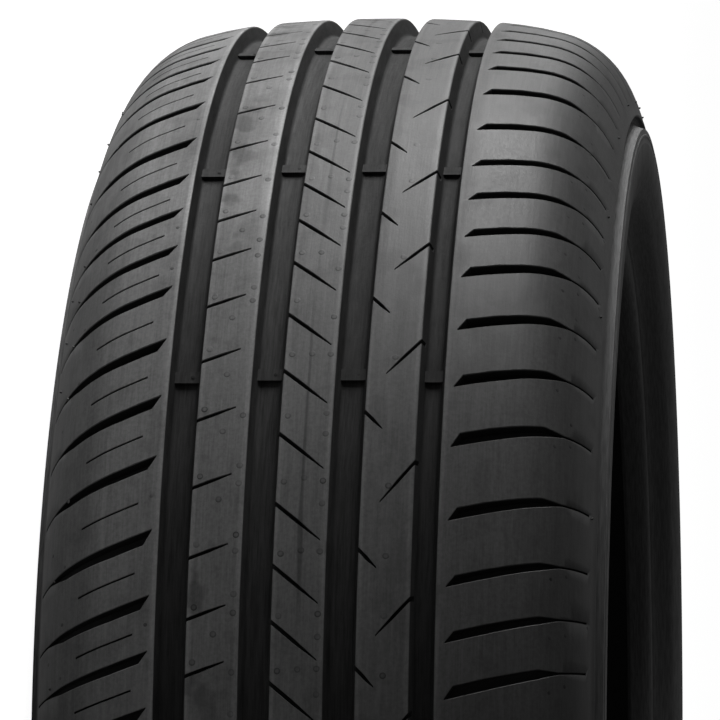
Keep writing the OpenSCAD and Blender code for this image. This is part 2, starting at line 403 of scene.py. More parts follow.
@dataclass
class Casing:
    """The tyre's ring in section: tread with its main grooves, sidewalls, beads and liner.

    The lip and the channel below the tread's edge, and the rim line, are given as drops in
    radius and shares of their height or depth. The side line is given as offsets and shares.
    Points are a radius and a distance across, or a distance to one side.
    """

    sizes: TyreSizes
    curve: TreadCurve
    steps: int = 240
    arc_steps: tuple[int, ...] = (8, 3, 9, 4)
    corner_steps: int = 3
    rib_margin: float = 1.6
    lip_height: float = 0.45
    lip: tuple[Point, ...] = ((0.4, 0.7), (1.1, 1.0), (1.7, 0.4))
    channel: tuple[Point, ...] = ((2.0, 0.45), (2.9, 0.72), (4.3, 0.7), (5.8, 0.1))
    channel_end: float = 7.0
    wall_steps: int = 10
    side_line_r: float = 267.0
    side_line_height: float = 0.28
    side_line: tuple[Point, ...] = ((0.6, 0.0), (0.3, 1.0), (-0.3, 1.0), (-0.6, 0.0))
    side_line_room: float = 1.6
    foot: float = 26.0
    flange: float = 12.0
    waist_steps: int = 6
    rim_line: tuple[Point, ...] = ((0.35, 0.85), (1.0, 0.9), (1.6, 0.4), (2.0, 0.0))
    heel_steps: int = 4
    toe_r: float = 1.5
    toe_share: float = 0.4
    bead_top: float = 9.0
    liner_drop: float = 9.0
    liner_fullness: float = 2 / 2.6
    liner_steps: tuple[int, int] = (5, 7)

    def groove_points(self, groove: Groove) -> list[Point]:
        """Return the section of one main groove, from its inner to its outer edge."""
        sizes = self.sizes
        top = self.curve.radius(groove.middle)
        floor = top - sizes.groove_depth
        lean, rounding, fillet = sizes.groove_lean, sizes.rib_round, sizes.groove_fillet
        half = groove.width / 2
        foot = half - sizes.groove_depth * lean
        turns = between(0, math.pi / 2, self.corner_steps)
        flank = [(-rounding * (1 - math.cos(turn)), half + rounding * (1 - math.sin(turn)))
                 for turn in turns]
        rounded = [(floor + fillet * (1 - math.sin(turn)),
                    foot + fillet * lean - fillet * (1 - math.cos(turn))) for turn in turns]
        points = []
        for sign in (-1, 1):
            for drop, x in flank:
                across = groove.middle + sign * x
                points.append((self.curve.radius(across) + drop, across))
            points += [(radius, groove.middle + sign * x) for radius, x in rounded]
        return sorted(points, key=lambda point: point[1])

    def tread_points(self) -> list[Point]:
        """Return the tread's section from its inner to its outer edge."""
        half = self.curve.half(self.arc_steps)
        plain = half + [(radius, -across) for radius, across in half[1:]]
        margin = self.sizes.rib_round * self.rib_margin
        points = [p for p in plain if all(abs(p[1] - groove.middle) > groove.width / 2 + margin
                                          for groove in self.sizes.grooves)]
        for groove in self.sizes.grooves:
            points += self.groove_points(groove)
        return sorted(points, key=lambda point: point[1])

    def bulge(self, radius: float) -> float:
        """Return how far out the sidewall's bulge lies at a radius."""
        sizes = self.sizes
        drop = radius - sizes.widest_r
        return sizes.half_width - sizes.bulge_r + math.sqrt(sizes.bulge_r ** 2 - drop ** 2)

    def side_points(self) -> list[Point]:
        """Return the sidewall's section from the tread's edge to the bead's heel."""
        sizes = self.sizes
        edge, edge_r = sizes.edge, self.curve.edge_radius
        lip = [(edge_r - drop, edge + self.lip_height * share) for drop, share in self.lip]
        channel = [(edge_r - drop, edge - sizes.step_depth * share)
                   for drop, share in self.channel]
        foot_r, flange_r = sizes.seat + self.foot, sizes.seat + self.flange
        wall = [(radius, self.bulge(radius))
                for radius in between(edge_r - self.channel_end, foot_r, self.wall_steps)
                if abs(radius - self.side_line_r) > self.side_line_room]
        for offset, share in self.side_line:
            radius = self.side_line_r + offset
            wall.append((radius, self.bulge(radius) + share * self.side_line_height))
        wall.sort(reverse=True)
        waist = [(radius, sizes.heel + (self.bulge(foot_r) - sizes.heel)
                  * ease((radius - flange_r) / (foot_r - flange_r)))
                 for radius in between(foot_r, flange_r, self.waist_steps)[1:]]
        rim_line = [(flange_r - drop, sizes.heel + sizes.rim_line * share)
                    for drop, share in self.rim_line]
        heel = [(sizes.seat + sizes.heel_r * (1 - math.sin(turn)),
                 sizes.heel - sizes.heel_r * (1 - math.cos(turn)))
                for turn in between(0, math.pi / 2, self.heel_steps)]
        return lip + channel + wall + waist + rim_line + heel

    def liner_points(self) -> list[Point]:
        """Return the liner's section from the bead's toe up to the crown."""
        sizes, toe_r = self.sizes, self.toe_r
        toe = sizes.heel - sizes.bead_width
        bead_top, waist = sizes.seat + self.bead_top, sizes.widest_r - self.liner_drop
        half = sizes.half_width - sizes.side_wall
        rise, fullness = sizes.crown - sizes.crown_wall - waist, self.liner_fullness
        below, above = self.liner_steps
        inset = toe_r * self.toe_share
        points = [(sizes.seat, toe + toe_r), (sizes.seat + inset, toe + inset),
                  (sizes.seat + toe_r, toe)]
        points += [(bead_top + (waist - bead_top) * t, toe + toe_r + (half - toe - toe_r) * ease(t))
                   for t in between(0, 1, below)]
        points += [(waist + rise * math.sin(turn) ** fullness,
                    half * abs(math.cos(turn)) ** fullness)
                   for turn in between(0, math.pi / 2, above)[1:-1]]
        return points + [(waist + rise, 0.0)]

    def section(self) -> list[Point]:
        """Return the whole closed section, with its points in order."""
        def flipped(points: list[Point]) -> list[Point]:
            return [(radius, -across) for radius, across in reversed(points)]

        side, liner = self.side_points(), self.liner_points()
        return (flipped(side) + self.tread_points() + side + liner + flipped(liner[:-1]))

    def build(self) -> Piece:
        """Spin the section into the ring that the cuts are made in, in millimetres."""
        outline = [Vector((radius, 0, across)) for radius, across in self.section()]
        ring = Workshop.spin("tyre_rubber", outline, self.steps)
        log.info("casing: %d points in section, %d faces", len(outline), len(ring.data.polygons))
        return ring


@dataclass(frozen=True)
class Station:
    """A place along a cut: its distance across, its two edges along, and its depth."""

    across: float
    front: float
    back: float
    depth: float


@dataclass(frozen=True)
class ShoulderPlan:
    """The outline of one side's shoulder grooves, with distances counted across from their tip.

    The hairline's two places are how far it lies along from the groove's front edge, where it
    starts and where it ends. The depths are spread evenly from one end to the other, with a
    little room beyond both.
    """

    side: Side
    tip: float
    far: float
    slant: float
    hairline: Point
    width: float = 4.4
    tip_width: float = 0.25
    hairline_width: float = 0.8
    tip_end: float = 0.5
    oblique_end: float = 3.2
    narrowing: float = 15.0
    waist: float = 34.0
    waist_share: float = 0.8
    hairline_start: float = 41.0
    steps: tuple[int, ...] = (1, 2, 3, 8, 3, 5)
    depths: Floats = (6.0, 6.0, 5.4, 3.0)
    depth_room: float = 1.0

    @property
    def length(self) -> float:
        """Return how far the groove reaches across."""
        return self.far - self.tip

    def places(self) -> list[float]:
        """Return the distances from the tip at which the groove is modelled."""
        knots = (0.0, self.tip_end, self.oblique_end, self.narrowing, self.waist,
                 self.hairline_start, self.length)
        runs = zip(knots, knots[1:], self.steps)
        return sorted({place for run in runs for place in between(*run)})

    def edges(self, place: float, width: float) -> Point:
        """Return how far the groove's two edges lie along from its front line.

        Args:
            place: Distance across from the tip.
            width: The width of the wide part.

        Returns:
            The front and the back edge.
        """
        start, end = self.hairline
        front = ((self.waist, 0.0), (self.hairline_start, start), (self.length, end))
        back = ((0.0, self.tip_width), (self.oblique_end, width), (self.narrowing, width),
                (self.waist, width * self.waist_share),
                (self.hairline_start, start + self.hairline_width),
                (self.length, end + self.hairline_width))
        return follow(front, place), follow(back, place)

    def depth(self, place: float) -> float:
        """Return the groove's depth at a distance from its tip."""
        room = self.depth_room
        places = between(-room, self.length + room, len(self.depths) - 1)
        return follow(list(zip(places, self.depths)), place)


@dataclass(frozen=True)
class SipePlan:
    """A sipe of a middle rib, which keeps its width to its middle and narrows from there.

    It opens to a groove's edge, on side 1 or -1 of it, and runs along and across to its end.
    """

    name: str
    opening: float
    side: int
    along: float
    run: float
    across: float
    width: float
    end_width: float = 0.6
    depth: float = 5.0
    reach: float = 2.5


@dataclass
class CutShop:
    """Models the cutters of the tread's grooves and sipes, and sets them round the tyre."""

    sizes: TyreSizes
    curve: TreadCurve
    row: PitchRow
    clear: float = 0.8
    groove_chamfer: float = 0.3
    sipe_chamfer: float = 0.12
    sipe_start: float = 0.4
    inner_lead: float = 3.3
    shoulder_sipe: tuple[float, float, int] = (5.9, 28.1, 7)
    shoulder_sipe_width: float = 0.8
    shoulder_sipe_depth: float = 4.0

    def at(self, angle: float, along: float = 0.0) -> Matrix:
        """Return the turn that takes a cutter to a tread angle, and along the tread from there."""
        return Matrix.Rotation(self.row.turn(along) - math.pi / 2 - angle, 4, "Z")

    def on_tread(self, along: float, across: float, radius: float) -> Vector:
        """Return the point at a distance along and across the tread, and at a radius."""
        return Vector((math.sqrt(radius ** 2 - along ** 2), along, across))

    def cutter(self, name: str, stations: Sequence[Station], chamfer: float) -> Piece:
        """Model a cutter with chamfered upper edges.

        Args:
            name: The cutter's name.
            stations: The places that the cut runs through.
            chamfer: Width and height of the chamfer.

        Returns:
            The cutter, placed at tread angle 0 turned to the X axis.
        """
        sections = []
        for place in stations:
            top, flare = self.curve.radius(place.across), chamfer + self.clear
            outline = ((place.front, -place.depth), (place.front, -chamfer),
                       (place.front - flare, self.clear), (place.back + flare, self.clear),
                       (place.back, -chamfer), (place.back, -place.depth))
            sections.append([self.on_tread(along, place.across, top + rise)
                             for along, rise in outline])
        return Workshop.loft(name, sections)

    def shoulder_cutter(self, plan: ShoulderPlan, length: float) -> Piece:
        """Model a shoulder groove from its plan, wider where its pitch is longer."""
        sign = plan.side.value
        width = plan.width * length / (self.row.lengths[1] * self.row.stretch)
        stations = []
        for place in plan.places():
            edges = sorted(-sign * (edge + place * plan.slant) for edge in plan.edges(place, width))
            stations.append(Station(sign * (plan.tip + place), edges[0], edges[1],
                                    plan.depth(place)))
        name = f"shoulder_groove_{plan.side.name.lower()}"
        return self.cutter(name, stations, self.groove_chamfer)

    def shoulder_sipe_cutter(self, plan: ShoulderPlan) -> Piece:
        """Model the closed sipe between two of the inner shoulder's grooves, from their plan."""
        width = self.shoulder_sipe_width
        front = (plan.width - width) / 2
        stations = [Station(-(plan.tip + place), front + place * plan.slant,
                            front + width + place * plan.slant, self.shoulder_sipe_depth)
                    for place in between(*self.shoulder_sipe)]
        return self.cutter("shoulder_sipe", stations, self.sipe_chamfer)

    def sipe_cutter(self, plan: SipePlan) -> Piece:
        """Model a sipe of a middle rib, from its plan."""
        slope = plan.run / plan.across
        halves = ((plan.across / 2, plan.width / 2), (plan.across, plan.end_width / 2))
        stations = []
        for place in (-plan.reach, self.sipe_start, *between(plan.across / 2, plan.across, 2)):
            half = follow(halves, place)
            stations.append(Station(plan.opening + plan.side * place, place * slope - half,
                                    place * slope + half, plan.depth))
        return self.cutter(plan.name, stations, self.sipe_chamfer)

    def shoulder_plans(self) -> tuple[ShoulderPlan, ShoulderPlan]:
        """Return the outlines of the inner and the outer side's shoulder grooves."""
        first, last, edge = self.sizes.grooves[0], self.sizes.grooves[-1], self.sizes.edge
        return (ShoulderPlan(Side.INNER, tip=2.6 - first.inner_edge, far=edge - 1.3,
                             slant=0.345, hairline=(0.6, 0.5)),
                ShoulderPlan(Side.OUTER, tip=3.6 + last.outer_edge, far=edge - 2.3,
                             slant=0.26, hairline=(0.4, -0.8)))

    def sipe_plans(self, length: float) -> dict[str, SipePlan]:
        """Return the sipes of the middle ribs in a pitch of a given length, by name."""
        grooves, lead = self.sizes.grooves, 0.276 * length
        plans = (
            SipePlan("rib_2", grooves[0].outer_edge, 1, 2.4, -5.5, 14.7, 1.5),
            SipePlan("rib_3", grooves[1].outer_edge, 1, -14.6 - 0.16 * length, 14.3, 17.4, 2.0),
            SipePlan("short", grooves[2].outer_edge, 1, -0.9, 7.0, 6.9, 2.0),
            SipePlan("long", grooves[3].inner_edge, -1, -lead, lead + 8.2, 12.6, 2.0))
        return {plan.name: plan for plan in plans}

    def build(self) -> Piece:
        """Model each kind of cutter once, set copies round the tyre and join them."""
        row, (inner, outer) = self.row, self.shoulder_plans()
        pitches = row.pitches()
        models: dict[tuple[str, float], Piece] = {}
        between_grooves = self.shoulder_sipe_cutter(inner)
        for length in {pitch.length for pitch in pitches}:
            models["inner", length] = self.shoulder_cutter(inner, length)
            models["outer", length] = self.shoulder_cutter(outer, length)
            for name, plan in self.sipe_plans(length).items():
                models[name, length] = self.sipe_cutter(plan)
        cuts = []
        for before, pitch in zip([pitches[-1], *pitches], pitches):
            middle = pitch.start - row.turn(pitch.length) / 2
            cuts.append(Workshop.copy_at(models["outer", pitch.length], self.at(pitch.start)))
            cuts.append(Workshop.copy_at(models["inner", before.length],
                                         self.at(pitch.start, self.inner_lead)))
            cuts.append(Workshop.copy_at(between_grooves, self.at(middle, self.inner_lead)))
            for name in ("rib_2", "rib_3", "long" if pitch.number % 2 else "short"):
                along = self.sipe_plans(pitch.length)[name].along
                cuts.append(Workshop.copy_at(models[name, pitch.length], self.at(middle, along)))
        Workshop.scrap([between_grooves, *models.values()])
        log.info("cuts: %d grooves and sipes", len(cuts))
        return Workshop.join("tread_cuts", cuts)


@dataclass
class WearBars:
    """The low bars across the main grooves that show when the tread is worn out."""

    sizes: TyreSizes
    curve: TreadCurve
    shop: CutShop
    height: float = 1.6
    length: float = 5.0
    sunk: float = 0.4
    angles: Floats = (75.0, 52.8, 32.5)

    def model(self, groove: Groove) -> Piece:
        """Model the bar that crosses a groove at tread angle 0."""
        sizes = self.sizes
        floor = self.curve.radius(groove.middle) - sizes.groove_depth
        foot = groove.width / 2 - sizes.groove_depth * sizes.groove_lean + self.sunk
        top = foot + self.height * sizes.groove_lean
        sections = []
        for along in between(-self.length / 2, self.length / 2, 2):
            sections.append([
                self.shop.on_tread(along, groove.middle + across, radius)
                for across, radius in ((-foot, floor - self.sunk), (foot, floor - self.sunk),
                                       (top, floor + self.height), (-top, floor + self.height))])
        return Workshop.loft("wear_bar", sections)

    def turns(self) -> list[Matrix]:
        """Return the turns to the bars' places round the tyre."""
        repeats = self.shop.row.repeats
        return [self.shop.at(math.radians(angle) + quarter * 2 * math.pi / repeats)
                for quarter in range(repeats) for angle in self.angles]

    def build(self) -> Piece:
        """Set the bars round the tyre and join them."""
        bars = []
        for groove in self.sizes.grooves:
            model = self.model(groove)
            bars += [Workshop.copy_at(model, turn) for turn in self.turns()]
            Workshop.scrap([model])
        log.info("wear bars: %d", len(bars))
        return Workshop.join("wear_bars", bars)


def adds(operation: str) -> Callable[["Wire", "Wire | float"], "Wire"]:
    """Return a method that adds the Math node of an operation on a wire and a value."""
    def method(self: "Wire", other: "Wire | float") -> "Wire":
        return self.sheet.math(operation, self, other)
    return method


class Wire:
    """A shader socket that takes part in Python expressions."""

    def __init__(self, sheet: "ShaderSheet", socket: bpy.types.NodeSocket) -> None:
        """Keep the socket and the sheet that its node is on."""
        self.sheet = sheet
        self.socket = socket

    __add__ = __radd__ = adds("ADD")
    __mul__ = __rmul__ = adds("MULTIPLY")
    __sub__ = adds("SUBTRACT")
    __truediv__ = adds("DIVIDE")

    def __rsub__(self, other: float) -> "Wire":
        """Return other - self."""
        return self.sheet.math("SUBTRACT", other, self)

    def __abs__(self) -> "Wire":
        """Return the absolute value."""
        return self.sheet.math("ABSOLUTE", self)


class ShaderSheet:
    """The nodes of one material, written as expressions."""

    def __init__(self, name: str) -> None:
        """Start a material of the given name with an empty sheet."""
        self.material = bpy.data.materials.new(name)
        self.material.use_nodes = True
        self.tree = self.material.node_tree
        self.tree.nodes.clear()

    @classmethod
    def of_world(cls, world: bpy.types.World) -> "ShaderSheet":
        """Return an empty sheet for a world's nodes."""
        sheet = cls.__new__(cls)
        sheet.tree = world.node_tree
        sheet.tree.nodes.clear()
        return sheet

    def node(self, kind: str, settings: dict | None = None,
             inputs: dict | None = None) -> bpy.types.Node:
        """Add a node, with its settings first and then its sockets.

        Args:
            kind: The node's type.
            settings: Properties of the node.
            inputs: Values or wires of its sockets, by name or number.

        Returns:
            The node.
        """
        made = self.tree.nodes.new(kind)
        for key, value in (settings or {}).items():
            setattr(made, key, value)
        for key, value in (inputs or {}).items():
            if isinstance(value, Wire):
                self.tree.links.new(value.socket, made.inputs[key])
            else:
                made.inputs[key].default_value = value
        return made

    def out(self, made: bpy.types.Node, key: str | int = 0) -> Wire:
        """Return one output of a node as a wire."""
        return Wire(self, made.outputs[key])

    def math(self, operation: str, *values: "Wire | float") -> Wire:
        """Return the result of a Math node."""
        made = self.node("ShaderNodeMath", {"operation": operation}, dict(enumerate(values)))
        return self.out(made)

    def step(self, value: Wire, start: float, end: float) -> Wire:
        """Return 0 below start, 1 above end, and a smooth rise between them."""
        made = self.node("ShaderNodeMapRange", {"interpolation_type": "SMOOTHSTEP"},
                         {"Value": value, "From Min": start, "From Max": end})
        return self.out(made)

    def position(self) -> tuple[Wire, Wire, Wire]:
        """Return the object's own X, Y and Z in millimetres."""
        place = self.out(self.node("ShaderNodeTexCoord"), "Object")
        split = self.node("ShaderNodeSeparateXYZ", inputs={0: place})
        return tuple(self.out(split, axis) * (1 / MM) for axis in "XYZ")

    def vector(self, x: "Wire | float", y: "Wire | float", z: "Wire | float") -> Wire:
        """Return a vector of three values."""
        return self.out(self.node("ShaderNodeCombineXYZ", inputs={0: x, 1: y, 2: z}))

    def noise(self, place: Wire, scale: float, detail: float = 2.0, rough: float = 0.5) -> Wire:
        """Return a noise from 0 to 1 at a place."""
        made = self.node("ShaderNodeTexNoise", {}, {
            "Vector": place, "Scale": scale, "Detail": detail, "Roughness": rough})
        return self.out(made, "Fac")

    def grey(self, value: Wire) -> Wire:
        """Return a grey of the given value."""
        return self.out(self.node("ShaderNodeCombineColor", inputs={0: value, 1: value, 2: value}))

    def finish(self, **inputs: "Wire | float | tuple") -> Material:
        """Add the surface shader, its inputs named with _ for a blank, and the output."""
        named = {key.replace("_", " "): value for key, value in inputs.items()}
        shader = self.node("ShaderNodeBsdfPrincipled", inputs=named)
        output = self.node("ShaderNodeOutputMaterial")
        self.tree.links.new(shader.outputs[0], output.inputs[0])
        return self.material


@dataclass(frozen=True)
class RubberFinish:
    """The tyre's satin black rubber: greyer on the ribs, darker in the cuts and on the sides.

    A noise is its scale per millimetre, its detail and its roughness. A band is where a change
    starts and where it is complete. A share is by how much it makes the rubber lighter or
    darker. The streaks run round the tyre: their place has one scale round it and one across.
    The darkness in the cuts and grooves is painted shade. The inner side is painted lighter than
    the outer as painted side light, the ribs' edges by the main grooves carry a painted highlight,
    a patch on the inner middle ribs a painted sheen, and the shoulders' edges, the inner grooves'
    floors and the vent marks are painted darker as painted shade.
    """

    sizes: TyreSizes
    curve: TreadCurve
    # Painted side light: the rubber is painted lighter on the inner side and darker on the outer
    # side, across the band.
    inner_lit_grey: float = 0.165
    outer_shaded_grey: float = 0.055
    side_light_band: Point = (-105, 105)
    # Painted shade: how light the groove floors and the cuts are left, against the ribs' tops.
    groove_shade_share: float = 0.16
    cut_shade_share: float = 0.12
    side_share: float = 1.0
    roughness: float = 0.5
    specular: float = 0.22
    streak_scales: Point = (9, 0.5)
    cloud_noise: Floats = (0.02, 3.0)
    dirt_noise: Floats = (0.07, 2.0)
    grain_noise: Floats = (0.7, 3.0, 0.65)
    grain_band: Point = (0.25, 0.75)
    streak_noises: tuple[Floats, ...] = ((1.0, 4.0, 0.65), (3.1, 2.0, 0.6))
    streak_band: Point = (0.28, 0.72)
    cut_band: Point = (0.3, 0.9)
    side_band: Point = (2.2, 0.8)
    groove_band: Point = (-0.3, 0.5)
    # Painted highlight: a lighter band along the ribs' edges beside the main grooves.
    edge_highlight_band: Point = (0.9, 2.4)
    edge_highlight_share: float = 0.34
    mould_line: float = -1.9
    mould_wave: float = 3.5
    mould_wave_noise: Floats = (0.5, 2.0)
    mould_band: Point = (0.3, 1.2)
    mould_gap_noise: Floats = (0.3, 1.0)
    mould_gap_band: Point = (0.35, 0.6)
    mould_share: float = 0.5
    dirt_band: Point = (0.52, 0.66)
    dirty_rib: tuple[Point, Point] = ((-46, -43), (-38, -28))
    clean_dirt: float = 0.35
    dirt_share: float = 0.42
    # Painted sheen: where a lighter, glossier patch lies on the inner middle ribs, and how strongly
    # it is painted lighter.
    sheen_height: Point = (190, 235)
    sheen_across: Point = (-28, 6)
    sheen_band: Point = (0.3, 0.6)
    sheen_share: float = 0.42
    # Painted shade: the ribs' tops darken towards both shoulders' edges.
    inner_edge_shade_band: Point = (76, 88)
    inner_edge_shade_share: float = 0.35
    outer_edge_shade_band: Point = (76, 101)
    outer_edge_shade_share: float = 0.42
    # Painted shade: the inner grooves' floors are painted darker, holding back the painted side
    # light there.
    inner_groove_shade_band: Point = (30, 50)
    inner_groove_shade_share: float = 0.4
    # Painted shade: how strongly the vent marks' attribute darkens them.
    mark_shade_share: float = 0.85

    def tread_radius(self, sheet: ShaderSheet, across: Wire) -> Wire:
        """Return the uncut tread's radius, in millimetres, at a distance to either side."""
        result = None
        for (start_r, start_x), turn, bend in zip(
                self.curve.starts, self.curve.turns, self.curve.radii):
            sine = (across - start_x) / bend + math.sin(turn)
            height = (sheet.math("SQRT", 1 - sine * sine) * bend
                      + (start_r - bend * math.cos(turn)))
            beyond = sheet.math("GREATER_THAN", across, start_x)
            result = height if result is None else result + (height - result) * beyond
        return result

    def near_grooves(self, sheet: ShaderSheet, z: Wire, band: Point) -> Wire:
        """Return 1 over the main grooves, down to 0 over a band counted from their edges."""
        masks = [1 - sheet.step(abs(z - groove.middle) - groove.width / 2, *band)
                 for groove in self.sizes.grooves]
        return sum(masks[1:], masks[0])

    def build(self, name: str = "satin_rubber", marked: bool = False) -> Material:
        """Write the rubber's material.

        Args:
            name: The material's name.
            marked: Whether the piece's own ring attribute darkens the rubber with painted shade.

        Returns:
            The material.
        """
        sheet = ShaderSheet(name)
        x, y, z = sheet.position()
        radius = sheet.math("SQRT", x * x + y * y)
        place = sheet.vector(x, y, z)
        round_scale, across_scale = self.streak_scales
        around = sheet.vector(x / radius * round_scale, y / radius * round_scale,
                              z * across_scale)
        cloud = sheet.noise(place, *self.cloud_noise)
        grain = sheet.step(sheet.noise(place, *self.grain_noise), *self.grain_band)
        streak, fine_streak = (sheet.step(sheet.noise(around, *noise), *self.streak_band)
                               for noise in self.streak_noises)

        # How deep below the uncut tread a point lies: it paints shade into the cuts and grooves,
        # and makes them rougher.
        cut = sheet.step(self.tread_radius(sheet, abs(z)) - radius, *self.cut_band)
        side = 1 - sheet.step(radius, *(self.curve.edge_radius - drop for drop in self.side_band))
        wave = (sheet.noise(around, *self.mould_wave_noise) - 0.5) * self.mould_wave
        mould = ((1 - sheet.step(abs(z - self.mould_line + wave), *self.mould_band))
                 * sheet.step(sheet.noise(around, *self.mould_gap_noise), *self.mould_gap_band))
        starts, ends = self.dirty_rib
        on_rib = sheet.step(z, *starts) * (1 - sheet.step(z, *ends))
        dirt = (sheet.step(sheet.noise(place, *self.dirt_noise), *self.dirt_band)
                * (self.clean_dirt + on_rib * (1 - self.clean_dirt)))
        # Painted sheen: a patch on the inner middle ribs near the tread's top, painted lighter and
        # made a little glossier.
        sheen_patch = (sheet.step(x * -1, *self.sheen_height)
                  * (1 - sheet.step(z, *self.sheen_across))
                  * sheet.step(cloud, *self.sheen_band))

        top = (0.78 + cloud * 0.24 + (streak - 0.5) * 0.2 + (fine_streak - 0.5) * 0.16
               + (grain - 0.5) * 0.26)
        top = (top * (1 - dirt * self.dirt_share) * (1 - mould * self.mould_share)
               # painted highlight along the ribs' edges by the main grooves
               * (1 + self.near_grooves(sheet, z, self.edge_highlight_band) * self.edge_highlight_share)
               # painted sheen on the patch
               * (1 + sheen_patch * self.sheen_share)
               # painted shade towards both shoulders' edges
               * (1 - sheet.step(z * -1, *self.inner_edge_shade_band) * self.inner_edge_shade_share)
               * (1 - sheet.step(z, *self.outer_edge_shade_band) * self.outer_edge_shade_share))
        # Groove floors: streaked, and painted darker on the inner grooves as painted shade.
        floor = (self.groove_shade_share * (0.25 + streak * 0.8 + fine_streak * 0.7)
                 * (1 - sheet.step(z * -1, *self.inner_groove_shade_band) * self.inner_groove_shade_share))
        main = self.near_grooves(sheet, z, self.groove_band)
        # Painted shade: the cuts and grooves are painted far darker than the ribs' tops.
        inner = self.cut_shade_share + (floor - self.cut_shade_share) * main
        shade = top + (inner - top) * cut
        shade = shade + (self.side_share * (0.7 + fine_streak * 0.6) - shade) * side
        # Painted shade on the vent marks: dark rims, dark painted holes and the stubs' painted
        # shadow.
        if marked:
            ring = sheet.out(sheet.node("ShaderNodeAttribute", {"attribute_name": MARK_SHADE}), "Fac")
            shade = shade * (1 - ring * self.mark_shade_share)
        # Painted side light: lighter towards the inner side, darker towards the outer side.
        grey = (self.inner_lit_grey
                + sheet.step(z, *self.side_light_band) * (self.outer_shaded_grey - self.inner_lit_grey))
        rough = (self.roughness + (cloud - 0.5) * 0.14 + (grain - 0.5) * 0.08 + dirt * 0.06
                 + cut * 0.25 - sheen_patch * 0.08)
        height = grain * 0.03 + streak * 0.025 + fine_streak * 0.015 * (1 - cut)
        bump = sheet.node("ShaderNodeBump", {}, {
            "Strength": 0.5, "Distance": MM, "Height": height})
        return sheet.finish(
            Base_Color=sheet.grey(shade * grey), Roughness=rough,
            Specular_IOR_Level=self.specular, Normal=sheet.out(bump))


@dataclass(frozen=True)
class VentMark:
    """A round mark in section: its rings' radii and heights, and how dark each is, as painted
    shade.
    """

    radii: Floats
    heights: Floats
    tones: Floats

    def model(self, corners: int = 12) -> Piece:
        """Model the mark round the X axis, at the origin, with its tones of painted shade as the
        attribute.
        """
        Workshop.deselect()
        bpy.ops.mesh.primitive_circle_add(
            vertices=corners, radius=self.radii[-1], fill_type="NGON")
        mark = bpy.context.object
        bpy.ops.object.mode_set(mode="EDIT")
        bpy.ops.mesh.select_all(action="SELECT")
        for outer, inner in zip(self.radii[:0:-1], self.radii[-2::-1]):
            bpy.ops.mesh.inset(thickness=(outer - inner) * math.cos(math.pi / corners))
        bpy.ops.mesh.poke()
        bpy.ops.object.mode_set(mode="OBJECT")
        # The attribute holds each ring's painted shade.
        ring = mark.data.attributes.new(MARK_SHADE, "FLOAT", "POINT")
        for vertex in mark.data.vertices:
            gaps = [abs(vertex.co.length - reach) for reach in (0.0, *self.radii)]
            step = max(0, gaps.index(min(gaps)) - 1)
            ring.data[vertex.index].value = self.tones[step]
            vertex.co.z = self.heights[step]
        mark.data.transform(Matrix.Rotation(math.pi / 2, 4, "Y"))
        return mark


